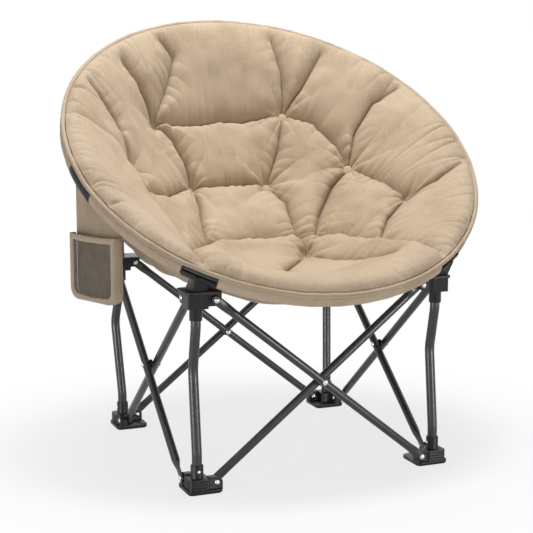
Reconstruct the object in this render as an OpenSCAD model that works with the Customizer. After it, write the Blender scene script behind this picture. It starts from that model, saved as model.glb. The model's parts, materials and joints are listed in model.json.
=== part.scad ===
// Folding saucer chair: a padded bowl on a steel ring, held by four posts that crossed bars tie together.
// X runs across the chair, the front faces -Y and Z is up. The origin is on the floor under the middle of the rim.

/* [Frame] */
// Half the distance between two neighbouring posts, centre to centre
post_half = 250; // [220:1:290]
// How far the square of the four feet lies behind the origin
frame_y = 20; // [10:1:24]
// Height of the rivets in the feet
foot_pin_z = 19; // [18:1:26]
// Height of the rivets in the hubs
hub_pin_z = 364; // [340:1:390]
// Distance of each rivet from its post, along the side of the square
pin_inset = 34; // [32:1:40]
// Outside diameter of a post
post_d = 19; // [16:0.5:20]
// Outside diameter of a crossed bar
bar_d = 16; // [12:0.5:17]
// Wall of the steel tubes
tube_wall = 1.2; // [0.8:0.1:2]
// How far the front posts bow back
front_bow = 18; // [4:1:20]
// How far the rear posts bow back
rear_bow = 20; // [4:1:24]
// How far the rear posts bow outward
rear_bow_out = 8; // [0:1:10]
// Distance of the plane of each crossed pair outside its posts
ear_out = 9.5; // [8.5:0.5:12]
// Distance of each bar from the middle plane of its crossed pair
plane_half = 10; // [9.5:0.5:12]

/* [Bar ends and rivets] */
// Thickness of a bar's flattened end
tab_t = 5; // [3:0.5:6]
// Width of a bar's flattened end
tab_w = 18; // [16:0.5:18]
// Length of a bar's flattened end, from the rivet
tab_len = 26; // [22:1:32]
// Radius of a rivet's shank
pin_r = 3; // [2:0.25:3.5]
// Radius of a rivet's head
head_r = 5.5; // [4.5:0.25:6.5]
// Height of a rivet's head
head_t = 2.4; // [1.5:0.1:3]
// Radius of the spacer where two bars cross
spacer_r = 10; // [8:0.5:12]

/* [Feet and hubs] */
// How far a sole reaches outside its post
sole_out = 24; // [20:1:28]
// How far a sole reaches inside its post
sole_in = 45; // [43:0.5:47]
// Thickness of the rubber pad under a sole
pad_t = 2; // [1:0.5:3]
// Thickness of a sole
sole_t = 6; // [4:0.5:7]
// Rounding of a sole's corners
sole_round = 11; // [6:1:14]
// Half width of the block round a post
block_half = 20; // [16:1:21]
// Height of the block on a foot
foot_block_z = 28; // [26:1:34]
// Radius of the collar and of the sleeve round a post
collar_r = 12; // [11.5:0.25:13]
// Height of the collar above its block
collar_h = 24; // [18:1:30]
// Height of the rivet through a foot's collar
collar_rivet_z = 41; // [38:1:46]
// Radius of the rounded end of an ear
ear_r = 11; // [10:0.5:12]
// Thickness of a hub's top plate
hub_plate_t = 5; // [4:0.5:8]
// How far a hub's top plate lies above its rivets
hub_plate_rise = 12; // [11:0.5:16]
// How far a hub's block hangs below its rivets
hub_block_drop = 15; // [12:1:18]
// Length of the sleeve below a hub's block
hub_sleeve_h = 23; // [18:1:30]
// How far a front post reaches above the rivets of its hub
front_post_over = 4; // [0:1:8]

/* [Ring] */
// Radius of the steel ring's centre line
ring_r = 416; // [390:1:440]
// Slope of the ring, rising to the rear, in degrees
ring_tilt = 36.7; // [34:0.1:39]
// Height of the ring's centre line above the front hubs, at the front clips
ring_rise = 35.3; // [30:0.1:60]
// How far the ring's centre line lies behind the rear posts, at the rear clips
ring_back = 1.6; // [0:0.1:5]
// Outside diameter of the ring's tube
ring_tube_d = 22; // [19:0.5:24]
// Turn of each side joint from the middle of its side, towards the front, in degrees
joint_turn = 11; // [6:1:16]
// Length of a side joint's cover
joint_len = 86; // [50:1:90]
// Outside radius of a side joint's cover
joint_r = 15.2; // [13.5:0.1:15.2]
// Length of a clip that holds the ring
clip_len = 66; // [40:1:70]
// Wall of a clip
clip_wall = 4; // [3:0.5:5]
// Width of the neck between a front hub and its clip
neck_w = 28; // [20:1:36]

/* [Seat] */
// Outside radius of the cloth sleeve round the ring
band_r = 15; // [13:0.5:16]
// Thickness of the cloth
cloth_t = 3; // [2:0.5:4]
// Depth of the sling below the ring
sling_depth = 272; // [240:1:290]
// Thickness of the cushion at its middle
cushion_t = 56; // [40:1:70]
// Thickness of the cushion at its edge
cushion_edge = 8; // [5:1:12]
// Width of the cushion's border, over which it rises from its edge
crown_w = 100; // [60:1:140]
// Depth of the tufts
tuft_depth = 32; // [10:1:38]
// Width of a tuft's dimple
tuft_w = 70; // [40:1:90]
// Depth of the stitched channels
channel_depth = 15; // [5:1:24]
// Width of a stitched channel
channel_w = 46; // [30:1:60]
// Radius of a covered button
button_r = 11; // [8:0.5:14]
// Height of a covered button
button_t = 7; // [4:0.5:9]
// Radius of the piping round the edge
piping_r = 4.5; // [3:0.25:6]

/* [Pocket] */
// Width of the pocket
pocket_w = 140; // [110:1:170]
// Height of the pocket's net
pocket_h = 126; // [90:1:140]
// Depth of the pocket's inside
pocket_deep = 15; // [10:1:20]
// Width of the pocket's binding
binding_w = 11; // [8:1:16]
// Turn round the ring to the middle of the pocket, in degrees
pocket_turn = 197; // [194:1:204]
// Openings of the net along the pocket
net_columns = 19; // [8:1:22]
// Openings of the net up the pocket
net_rows = 12; // [6:1:13]
// Width of a strand of the net
strand_w = 1.4; // [1:0.1:2]

/* [Hidden] */

$fn = 64;
// Clearance between a rivet and its hole
pin_gap = 0.1;
// Clearance between flat faces that slide on each other
face_gap = 0.25;
// Clearance of a post in a foot
socket_gap = 0.1;
// Clearance of a post in a hub
slide_gap = 0.3;
// Clearance round cloth and padding
soft_gap = 0.4;
// How far a cut runs past the solid that it cuts
over = 1;
// How far the parts of one moulding run into each other
lap = 2;

// How far a bend of a post swells
bend_swell = 0.15;
// How far a straight stretch of a post runs into a bend
bend_run_in = 1;

// Corners of the square of feet: quarter turn, side in X and side in Y
FL = 0;
FR = 1;
BR = 2;
BL = 3;
corner_sx = [-1, 1, 1, -1];
corner_sy = [-1, -1, 1, 1];

post_r = post_d / 2;
bar_r = bar_d / 2;
ear_t = 2 * plane_half - tab_t - 2 * face_gap;
pin_span = 2 * (post_half - pin_inset);
pin_rise = hub_pin_z - foot_pin_z;
bar_len = sqrt(pow(pin_span, 2) + pow(pin_rise, 2));
bar_angle = atan2(pin_rise, pin_span);
sole_top = pad_t + sole_t;
socket_floor = sole_top + lap;
hub_plate_z = hub_pin_z + hub_plate_rise;
hub_top = hub_plate_z + hub_plate_t;
hub_block_z = hub_pin_z - hub_block_drop;
sleeve_z = hub_block_z - hub_sleeve_h;
front_post_top = hub_pin_z + front_post_over;

// A post leans from the top of its collar, and stands upright again where its hub's sleeve begins
lean_start = foot_block_z + collar_h + block_half;
lean_end = sleeve_z - collar_r;
// Share of the leaning height at which the bow is deepest
bow_share = 0.66;
post_bend_r = 4 * post_d;

ring_tube_r = ring_tube_d / 2;
clip_r = ring_tube_r + slide_gap + clip_wall;
clip_turn = acos(post_half / ring_r);
ring_fore = ring_r * sin(clip_turn);
// The ring lies over the rear posts, and at its rise above the front hubs
ring_y = frame_y + post_half + ring_back - ring_fore * cos(ring_tilt);
ring_z = hub_top + ring_rise + ring_fore * sin(ring_tilt);
clip_front = [ring_y - ring_fore * cos(ring_tilt), ring_z - ring_fore * sin(ring_tilt)];
clip_rear = [ring_y + ring_fore * cos(ring_tilt), ring_z + ring_fore * sin(ring_tilt)];
// Slope of the ring's tube over a rear post, in degrees
clip_slope = asin(cos(clip_turn) * sin(ring_tilt));
rear_post_top = clip_rear[1] - (ring_tube_r + slide_gap) / cos(clip_slope) - post_r * tan(clip_slope) - clip_wall / 2;
clip_half_turn = (clip_len / 2 + lap) / ring_r * 180 / PI;
joint_half_turn = joint_len / 2 / ring_r * 180 / PI;
joint_gap_turn = (joint_len / 2 + lap) / ring_r * 180 / PI;
ring_gap_turn = slide_gap / ring_r * 180 / PI;

// Middle and half width, in degrees round the ring, of each break in the cloth sleeve
sleeve_breaks = [
    [clip_turn, clip_half_turn],
    [180 - clip_turn, clip_half_turn],
    [180 + joint_turn, joint_gap_turn],
    [180 + clip_turn, clip_half_turn],
    [360 - clip_turn, clip_half_turn],
    [360 - joint_turn, joint_gap_turn],
];

sling_r = ring_r - clip_r - soft_gap;
sling_steps = 14;
cushion_rim_z = clip_r + soft_gap;
piping_z = cushion_rim_z + cushion_edge / 2;
cushion_r = ring_r + ring_tube_r - piping_r;
piping_mid_r = cushion_r + soft_gap + piping_r;
cushion_rings = 18;
cushion_under_rings = 8;
cushion_sectors = 48;

// Tufts as shares of the ring's radius: across, and up the slope of the ring
tuft_shares = [
    [0.31, 0.58], [0.15, 0.21], [0.57, 0.19],
    [-0.44, 0.52], [-0.27, 0.2], [0.74, -0.18], [-0.64, 0.16], [0.15, -0.36],
];
// The tufts that carry a button
button_count = 3;
// Stitched channels, each from one point to another, as shares of the ring's radius
channel_shares = [
    [[-0.44, 0.52], [0.31, 0.58]],
    [[-0.27, 0.2], [0.15, 0.21]],
    [[0.31, 0.58], [0.15, 0.21]],
    [[0.31, 0.58], [0.28, 0.94]],
    [[0.31, 0.58], [0.57, 0.8]],
    [[0.31, 0.58], [0.57, 0.19]],
    [[0.57, 0.19], [0.84, 0.5]],
    [[0.57, 0.19], [0.74, -0.18]],
    [[0.15, 0.21], [0.16, -0.17]],
    [[0.57, 0.19], [0.42, -0.22]],
    [[0.74, -0.18], [0.52, -0.42]],
    [[-0.27, 0.2], [-0.34, -0.2]],
    [[-0.44, 0.52], [-0.27, 0.2]],
    [[-0.44, 0.52], [-0.58, 0.74]],
    [[-0.44, 0.52], [-0.64, 0.16]],
    [[-0.64, 0.16], [-0.94, 0.18]],
    [[-0.64, 0.16], [-0.5, -0.3]],
    [[-0.62, -0.42], [-0.17, -0.17]],
    [[-0.17, -0.17], [0.2, -0.17]],
    [[0.2, -0.17], [0.5, -0.42]],
    [[0.5, -0.42], [0.6, -0.7]],
];

// The pocket hangs upright under a chord of the ring, between these two points of the ring's centre line
pocket_half_turn = asin(pocket_w / 2 / ring_r / cos(ring_tilt) * cos(ring_tilt / 2));
pocket_rear = ring_point(pocket_turn - pocket_half_turn);
pocket_front = ring_point(pocket_turn + pocket_half_turn);
pocket_run = pocket_rear - pocket_front;
pocket_span = norm([pocket_run[0], pocket_run[1]]);
pocket_mid = (pocket_rear + pocket_front) / 2;
pocket_slope = pocket_run[2] / pocket_span;
// How far the ring bends down between the pocket's ends
pocket_sag = ring_r * (1 - cos(pocket_half_turn)) * abs(sin(pocket_turn) * sin(ring_tilt));
pocket_clear = (band_r + soft_gap) * sqrt(1 + pocket_slope * pocket_slope) + pocket_sag;
pocket_hem = -pocket_w / 2 * pocket_slope - pocket_clear;
pocket_round = binding_w * 2;

function ring_point(turn) = [
    ring_r * cos(turn),
    ring_y + ring_r * sin(turn) * cos(ring_tilt),
    ring_z + ring_r * sin(turn) * sin(ring_tilt),
];

// Places
module corner(k) {
    translate([0, frame_y, 0])
        rotate([0, 0, 90 * k])
            translate([-post_half, -post_half, 0])
                children();
}

module side(k) {
    translate([0, frame_y, 0])
        rotate([0, 0, 90 * k])
            translate([0, -post_half - ear_out, 0])
                children();
}

module in_ring() {
    translate([0, ring_y, ring_z])
        rotate([ring_tilt, 0, 0])
            children();
}

module on_ring(turn) {
    in_ring()
        rotate([0, 0, turn])
            translate([ring_r, 0, 0])
                children();
}

// Shapes
module rounded_square(lo, hi, round) {
    translate([lo + round, lo])
        square([hi - lo - 2 * round, hi - lo]);
    translate([lo, lo + round])
        square([hi - lo, hi - lo - 2 * round]);
    for (x = [lo + round, hi - round], y = [lo + round, hi - round])
        translate([x, y])
            circle(round);
}

// A shank along Y with a domed head at both ends
module rivet(from, to, r, cap_r, cap_t) {
    dome_r = (cap_r * cap_r + cap_t * cap_t) / (2 * cap_t);
    translate([0, from, 0])
        rotate([-90, 0, 0])
            cylinder(h = to - from, r = r);
    for (end = [[from, 90], [to, -90]])
        translate([0, end[0], 0])
            rotate([end[1], 0, 0])
                intersection() {
                    translate([0, 0, cap_t - dome_r])
                        sphere(dome_r);
                    cylinder(h = cap_t, r = cap_r);
                }
}

module pin_hole(from, to, r) {
    translate([0, from, 0])
        rotate([-90, 0, 0])
            cylinder(h = to - from, r = r);
}

// Moves to the rivet of the ear that lies on the first side of a corner
module at_pin(z) {
    translate([pin_inset, -ear_out, z])
        children();
}

// Mirrors a corner's first side onto its second
module both_sides() {
    children();
    mirror([1, -1, 0])
        children();
}

// An ear, from the block to its rounded end, reaching from its rivet to the plate
module ear(pin_z, plate_z) {
    low = min(pin_z, plate_z);
    at_pin(pin_z)
        pin_hole(-ear_t / 2, ear_t / 2, ear_r);
    translate([block_half - lap, -ear_out - ear_t / 2, min(pin_z - ear_r, low)])
        cube([pin_inset - block_half + lap, ear_t, ear_r + abs(plate_z - pin_z)]);
    translate([pin_inset - ear_r, -ear_out - ear_t / 2, low])
        cube([2 * ear_r, ear_t, abs(plate_z - pin_z)]);
}

module ear_hole(pin_z) {
    at_pin(pin_z)
        pin_hole(-ear_t / 2 - over, ear_t / 2 + over, pin_r + pin_gap);
}

// Feet
module foot(k) {
    color([0.11, 0.11, 0.12])
        corner(k)
            difference() {
                union() {
                    translate([0, 0, pad_t])
                        linear_extrude(sole_t)
                            rounded_square(-sole_out, sole_in, sole_round);
                    translate([0, 0, pad_t])
                        linear_extrude(foot_block_z - pad_t)
                            rounded_square(-block_half, block_half, sole_round / 2);
                    translate([0, 0, pad_t])
                        cylinder(h = foot_block_z + collar_h - pad_t, r = collar_r);
                    both_sides()
                        ear(foot_pin_z, pad_t + lap);
                }
                translate([0, 0, socket_floor])
                    cylinder(h = foot_block_z + collar_h, r = post_r + socket_gap);
                both_sides()
                    ear_hole(foot_pin_z);
                translate([0, 0, collar_rivet_z])
                    pin_hole(-collar_r - over, collar_r + over, pin_r - lap / 2 + pin_gap);
            }
}

module pad(k) {
    color([0.07, 0.07, 0.07])
        corner(k)
            linear_extrude(pad_t)
                rounded_square(lap - sole_out, sole_in - lap, sole_round - lap);
}

module foot_rivets(k) {
    color([0.8, 0.8, 0.8])
        corner(k) {
            at_pin(foot_pin_z)
                rivet(-ear_t / 2 - face_gap, plane_half + tab_t / 2 + face_gap, pin_r, head_r, head_t);
            mirror([1, -1, 0])
                at_pin(foot_pin_z)
                    rivet(-plane_half - tab_t / 2 - face_gap, ear_t / 2 + face_gap, pin_r, head_r, head_t);
            translate([0, 0, collar_rivet_z])
                rivet(-collar_r, collar_r, pin_r - lap / 2, head_r - lap, head_t / 2);
        }
}

// Posts
module ring_section(outer_r, inner_r) {
    difference() {
        circle(outer_r);
        circle(inner_r);
    }
}

// A bend away from upright, towards +X for a positive turn and towards -X for a negative one
module tube_bend(turn) {
    rotate([0, 0, turn > 0 ? 180 : 0])
        translate([-post_bend_r, 0, 0])
            rotate([90, 0, 0])
                rotate_extrude(angle = abs(turn), $fn = 180)
                    translate([post_bend_r, 0])
                        ring_section(post_r + bend_swell, post_r - tube_wall - bend_swell, $fn = 64);
}

// A tube along a chain of [straight length, turn after it]; each straight runs a little into its bends
module bent_tube(steps, i = 0) {
    h = steps[i][0];
    turn = steps[i][1];
    last = len(steps) - 1;
    translate([0, 0, i == 0 ? 0 : -bend_run_in])
        linear_extrude(h + (i == 0 ? 0 : bend_run_in) + (i == last ? 0 : bend_run_in))
            ring_section(post_r, post_r - tube_wall);
    if (i < last) {
        translate([0, 0, h])
            tube_bend(turn);
        translate([sign(turn) * post_bend_r * (1 - cos(turn)), 0, h + post_bend_r * sin(abs(turn))])
            rotate([0, turn, 0])
                bent_tube(steps, i + 1);
    }
}

// A post stands upright in its foot and in its hub, and bows by the given amounts between them
module post(k) {
    sx = corner_sx[k];
    sy = corner_sy[k];
    bow = sy < 0 ? [0, front_bow] : [sx * rear_bow_out, rear_bow];
    top = sy < 0 ? front_post_top : rear_post_top;
    low_rise = bow_share * (lean_end - lean_start);
    high_rise = lean_end - lean_start - low_rise;
    low_turn = atan(norm(bow) / low_rise);
    high_turn = atan(norm(bow) / high_rise);
    low_cut = post_bend_r * tan(low_turn / 2);
    mid_cut = post_bend_r * tan((low_turn + high_turn) / 2);
    high_cut = post_bend_r * tan(high_turn / 2);
    steps = [
        [lean_start - low_cut - socket_floor, low_turn],
        [low_rise / cos(low_turn) - low_cut - mid_cut, -low_turn - high_turn],
        [high_rise / cos(high_turn) - mid_cut - high_cut, high_turn],
        [top - lean_end - high_cut, 0],
    ];
    color([0.27, 0.27, 0.28])
        translate([sx * post_half, frame_y + sy * post_half, 0])
            difference() {
                translate([0, 0, socket_floor])
                    rotate([0, 0, atan2(bow[1], bow[0])])
                        bent_tube(steps);
                rotate([0, 0, 90 * k])
                    translate([0, 0, collar_rivet_z])
                        pin_hole(-collar_r - over, collar_r + over, pin_r - lap / 2 + pin_gap);
            }
}

// Crossed bars: bar a runs in the inner plane from low left to high right, seen from outside, and b in the outer one
module flat_end() {
    rotate([-90, 0, 0])
        translate([0, 0, -tab_t / 2])
            cylinder(h = tab_t, r = tab_w / 2);
    translate([0, -tab_t / 2, -tab_w / 2])
        cube([tab_len, tab_t, tab_w]);
}

module bar_shape() {
    difference() {
        union() {
            difference() {
                translate([tab_len - lap, 0, 0])
                    rotate([0, 90, 0])
                        cylinder(h = bar_len - 2 * (tab_len - lap), r = bar_r);
                translate([tab_len, 0, 0])
                    rotate([0, 90, 0])
                        cylinder(h = bar_len - 2 * tab_len, r = bar_r - tube_wall);
            }
            flat_end();
            translate([bar_len, 0, 0])
                mirror([1, 0, 0])
                    flat_end();
        }
        for (x = [0, bar_len])
            translate([x, 0, 0])
                pin_hole(-tab_t / 2 - over, tab_t / 2 + over, pin_r + pin_gap);
        translate([bar_len / 2, 0, 0])
            pin_hole(-bar_r - over, bar_r + over, pin_r + pin_gap);
    }
}

module bar_a(k) {
    color([0.27, 0.27, 0.28])
        side(k)
            translate([-pin_span / 2, plane_half, foot_pin_z])
                rotate([0, -bar_angle, 0])
                    bar_shape();
}

module bar_b(k) {
    color([0.27, 0.27, 0.28])
        side(k)
            translate([pin_span / 2, -plane_half, foot_pin_z])
                rotate([0, bar_angle, 0])
                    mirror([1, 0, 0])
                        bar_shape();
}

module cross_rivet(k) {
    color([0.8, 0.8, 0.8])
        side(k)
            translate([0, 0, (foot_pin_z + hub_pin_z) / 2])
                rivet(-plane_half - bar_r, plane_half + bar_r, pin_r, head_r, head_t);
}

module spacer(k) {
    gap = plane_half - bar_r - face_gap;
    color([0.09, 0.09, 0.09])
        side(k)
            translate([0, 0, (foot_pin_z + hub_pin_z) / 2])
                difference() {
                    pin_hole(-gap, gap, spacer_r);
                    pin_hole(-gap - over, gap + over, pin_r + pin_gap);
                }
}

// Hubs: the front ones are caps that sit on their posts, and the rear ones slide on theirs
module hub(k) {
    bore_top = corner_sy[k] < 0 ? front_post_top + face_gap : hub_top + over;
    color([0.11, 0.11, 0.12])
        corner(k)
            difference() {
                union() {
                    translate([0, 0, hub_plate_z])
                        linear_extrude(hub_plate_t)
                            rounded_square(-sole_out, sole_in, sole_round);
                    translate([0, 0, hub_block_z])
                        linear_extrude(hub_plate_z - hub_block_z + lap)
                            rounded_square(-block_half, block_half, sole_round / 2);
                    translate([0, 0, sleeve_z])
                        cylinder(h = hub_top - sleeve_z, r = collar_r);
                    both_sides()
                        ear(hub_pin_z, hub_plate_z + lap);
                }
                translate([0, 0, sleeve_z - over])
                    cylinder(h = bore_top - sleeve_z + over, r = post_r + slide_gap);
                both_sides()
                    ear_hole(hub_pin_z);
            }
}

module hub_rivets(k) {
    color([0.8, 0.8, 0.8])
        corner(k) {
            at_pin(hub_pin_z)
                rivet(-plane_half - tab_t / 2 - face_gap, ear_t / 2 + face_gap, pin_r, head_r, head_t);
            mirror([1, -1, 0])
                at_pin(hub_pin_z)
                    rivet(-ear_t / 2 - face_gap, plane_half + tab_t / 2 + face_gap, pin_r, head_r, head_t);
        }
}

// Clips: open cups that the ring lies in
module cup(turn) {
    on_ring(turn)
        rotate([90, 0, 0])
            translate([0, 0, -clip_len / 2])
                cylinder(h = clip_len, r = clip_r);
}

module cup_room(turn) {
    in_ring()
        rotate([0, 0, turn - 2 * clip_half_turn])
            rotate_extrude(angle = 4 * clip_half_turn, $fn = 128)
                translate([ring_r, 0])
                    circle(ring_tube_r + slide_gap);
    on_ring(turn)
        translate([-clip_r - over, -clip_len, clip_wall])
            cube([2 * (clip_r + over), 2 * clip_len, 2 * clip_r]);
}

module front_clip(sx) {
    turn = 270 + sx * (90 - clip_turn);
    hub_y = frame_y - post_half;
    color([0.11, 0.11, 0.12])
        difference() {
            union() {
                cup(turn);
                translate([sx * post_half - neck_w / 2, 0, 0])
                    rotate([90, 0, 90])
                        linear_extrude(neck_w)
                            polygon([
                                [hub_y - sole_out + lap, hub_top],
                                [hub_y + block_half, hub_top],
                                [clip_front[0] + clip_r, clip_front[1]],
                                [clip_front[0], clip_front[1]],
                                [clip_front[0] - clip_r + lap, clip_front[1] - clip_wall],
                            ]);
            }
            cup_room(turn);
        }
}

module rear_clip(sx) {
    turn = 90 - sx * (90 - clip_turn);
    socket_h = hub_sleeve_h + clip_r;
    color([0.11, 0.11, 0.12])
        difference() {
            union() {
                cup(turn);
                translate([sx * post_half, frame_y + post_half, rear_post_top - hub_sleeve_h])
                    cylinder(h = socket_h, r = collar_r);
            }
            cup_room(turn);
            translate([sx * post_half, frame_y + post_half, rear_post_top - hub_sleeve_h - over])
                cylinder(h = hub_sleeve_h + over + face_gap, r = post_r + socket_gap);
        }
}

// Ring
module ring_part(from, to) {
    color([0.27, 0.27, 0.28])
        in_ring()
            rotate([0, 0, from + ring_gap_turn])
                rotate_extrude(angle = to - from - 2 * ring_gap_turn, $fn = 128)
                    translate([ring_r, 0])
                        difference() {
                            circle(ring_tube_r);
                            circle(ring_tube_r - tube_wall);
                        }
}

module joint_cover(turn) {
    color([0.09, 0.09, 0.1])
        in_ring()
            rotate([0, 0, turn - joint_half_turn])
                rotate_extrude(angle = 2 * joint_half_turn, $fn = 128)
                    translate([ring_r, 0])
                        difference() {
                            circle(joint_r);
                            circle(ring_tube_r + slide_gap);
                        }
}

// Cloth
module ring_sleeve() {
    count = len(sleeve_breaks);
    color([0.72, 0.63, 0.52])
        in_ring()
            for (i = [0 : count - 1]) {
                here = sleeve_breaks[i];
                next = sleeve_breaks[(i + 1) % count];
                from = here[0] + here[1];
                to = next[0] - next[1] + (i == count - 1 ? 360 : 0);
                rotate([0, 0, from])
                    rotate_extrude(angle = to - from, $fn = 128)
                        translate([ring_r, 0])
                            difference() {
                                circle(band_r);
                                circle(ring_tube_r + soft_gap);
                            }
            }
}

function sling_z(r) = -sling_depth * (1 - pow(r / sling_r, 2));

module sling() {
    outer = [for (i = [0 : sling_steps]) [sling_r * i / sling_steps, sling_z(sling_r * i / sling_steps)]];
    inner = [for (i = [sling_steps : -1 : 0]) outer[i] + [0, cloth_t]];
    color([0.72, 0.63, 0.52])
        in_ring()
            rotate_extrude($fn = 128)
                polygon(concat(outer, inner));
}

function segment_distance(p, a, b) =
    let (run = b - a, t = max(0, min(1, (p - a) * run / (run * run))))
        norm(p - a - t * run);

function dimple(distance, width) = exp(-pow(distance / (width / 2), 2));

// How far the stitching draws the cushion's top down at a point
function drawn_in(p) =
    let (
        tufts = [for (t = tuft_shares) tuft_depth * dimple(norm(p - t * ring_r), tuft_w)],
        channels = [
            for (c = channel_shares)
                channel_depth * dimple(segment_distance(p, c[0] * ring_r, c[1] * ring_r), channel_w)
        ]
    )
        max(concat(tufts, channels));

function cushion_floor(r) = sling_z(r) + cloth_t + soft_gap;

function crown(r) = sin(90 * min(1, (cushion_r - r) / crown_w));

function cushion_top(p) =
    let (r = norm(p), z0 = r < sling_r ? min(cushion_floor(r), cushion_rim_z) : cushion_rim_z)
        z0 + cushion_edge + (cushion_t - cushion_edge - drawn_in(p)) * crown(r);

function polar(r, turn) = [r * cos(turn), r * sin(turn)];

// The cushion is two polar nets on the same spokes: its top, and its underside with fewer rings
module cushion() {
    n = cushion_sectors;
    m = cushion_rings;
    k = cushion_under_rings;
    top = [
        for (i = [1 : m], j = [0 : n - 1])
            let (p = polar(cushion_r * i / m, 360 * j / n))
                [p[0], p[1], i == m ? cushion_rim_z + cushion_edge : cushion_top(p)]
    ];
    bottom = [
        for (i = [1 : k], j = [0 : n - 1])
            let (
                r = i == k ? cushion_r : i == k - 1 ? sling_r - soft_gap : (sling_r - cloth_t) * i / (k - 2),
                p = polar(r, 360 * j / n)
            )
                [p[0], p[1], i > k - 2 ? cushion_rim_z : cushion_floor(r)]
    ];
    under = m * n;
    top_mid = under + k * n;
    bottom_mid = top_mid + 1;
    faces = concat(
        [for (j = [0 : n - 1]) [top_mid, (j + 1) % n, j]],
        [for (j = [0 : n - 1]) [bottom_mid, under + j, under + (j + 1) % n]],
        [
            for (i = [0 : m - 2], j = [0 : n - 1], half = [0, 1])
                let (a = i * n + j, b = i * n + (j + 1) % n)
                    half == 0 ? [a, b, b + n] : [a, b + n, a + n]
        ],
        [
            for (i = [0 : k - 2], j = [0 : n - 1], half = [0, 1])
                let (a = under + i * n + j, b = under + i * n + (j + 1) % n)
                    half == 0 ? [a, b + n, b] : [a, a + n, b + n]
        ],
        [
            for (j = [0 : n - 1], half = [0, 1])
                let (a = (m - 1) * n + j, b = (m - 1) * n + (j + 1) % n, c = under + (k - m) * n)
                    half == 0 ? [a, b, b + c] : [a, b + c, a + c]
        ]
    );
    color([0.82, 0.74, 0.63])
        in_ring()
            difference() {
                polyhedron(concat(top, bottom, [[0, 0, cushion_top([0, 0])], [0, 0, cushion_floor(0)]]), faces);
                for (i = [0 : button_count - 1])
                    at_button(i)
                        translate([0, 0, -button_t / 2 - soft_gap])
                            cylinder(h = tuft_depth, r = button_r + soft_gap, $fn = 24);
            }
}

// Moves to a button's tuft, square to the cushion's top there
module at_button(i) {
    p = tuft_shares[i] * ring_r;
    slope_x = (cushion_top(p + [tuft_w, 0]) - cushion_top(p - [tuft_w, 0])) / (2 * tuft_w);
    slope_y = (cushion_top(p + [0, tuft_w]) - cushion_top(p - [0, tuft_w])) / (2 * tuft_w);
    lean = [-slope_x, -slope_y, 1];
    translate([p[0], p[1], cushion_top(p)])
        rotate([0, acos(1 / norm(lean)), atan2(lean[1], lean[0])])
            children();
}

module buttons() {
    dome_r = (button_r * button_r + button_t * button_t) / (2 * button_t);
    color([0.8, 0.71, 0.6])
        in_ring()
            for (i = [0 : button_count - 1])
                at_button(i)
                    translate([0, 0, -button_t / 2])
                        intersection() {
                            cylinder(h = button_t, r = button_r);
                            translate([0, 0, button_t - dome_r])
                                sphere(dome_r);
                        }
}

module piping() {
    color([0.7, 0.61, 0.5])
        in_ring()
            translate([0, 0, piping_z])
                rotate_extrude($fn = 128)
                    translate([piping_mid_r, 0])
                        circle(piping_r);
}

// Pocket: drawn flat, with X to the rear, Y up from the ring's centre line and its back at Z = 0
module at_pocket() {
    translate(pocket_mid)
        rotate([90, 0, atan2(pocket_run[1], pocket_run[0])])
            mirror([0, 0, 1])
                children();
}

module pocket_outline(inset) {
    w = pocket_w - 2 * inset;
    round = pocket_round - inset;
    foot = pocket_hem - pocket_h + inset;
    translate([-w / 2, foot + round])
        square([w, pocket_hem - inset - foot - round]);
    translate([round - w / 2, foot])
        square([w - 2 * round, round + lap]);
    for (x = [round - w / 2, w / 2 - round])
        translate([x, foot + round])
            circle(round);
}

module pocket_back() {
    color([0.72, 0.63, 0.52])
        at_pocket()
            linear_extrude(cloth_t) {
                pocket_outline(0);
                polygon([
                    [-pocket_w / 2, pocket_hem - pocket_round],
                    [pocket_w / 2, pocket_hem - pocket_round],
                    [pocket_w / 2, pocket_w / 2 * pocket_slope - pocket_clear],
                    [-pocket_w / 2, pocket_hem],
                ]);
            }
}

module pocket_net() {
    w = pocket_w - 2 * (binding_w + soft_gap);
    h = pocket_h - 2 * (binding_w + soft_gap);
    step_x = w / net_columns;
    step_y = h / net_rows;
    color([0.5, 0.44, 0.36])
        at_pocket()
            translate([0, 0, cloth_t + pocket_deep + soft_gap])
                linear_extrude(cloth_t / 2)
                    difference() {
                        pocket_outline(binding_w + soft_gap);
                        for (i = [0 : net_columns - 1], j = [1 : net_rows - 1])
                            translate([
                                i * step_x + strand_w / 2 - w / 2,
                                pocket_hem - binding_w - h + j * step_y + strand_w / 2,
                            ])
                                square([step_x - strand_w, step_y - strand_w]);
                    }
}

module pocket_binding() {
    color([0.74, 0.65, 0.54])
        at_pocket() {
            translate([0, 0, cloth_t])
                linear_extrude(pocket_deep + soft_gap + cloth_t / 2)
                    difference() {
                        pocket_outline(0);
                        pocket_outline(binding_w);
                        translate([binding_w - pocket_w / 2, pocket_hem - pocket_h / 2])
                            square([pocket_w - 2 * binding_w, pocket_h]);
                    }
            translate([binding_w - pocket_w / 2 - lap, pocket_hem - binding_w, cloth_t + pocket_deep + soft_gap])
                cube([pocket_w - 2 * binding_w + 2 * lap, binding_w, cloth_t / 2]);
        }
}

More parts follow.
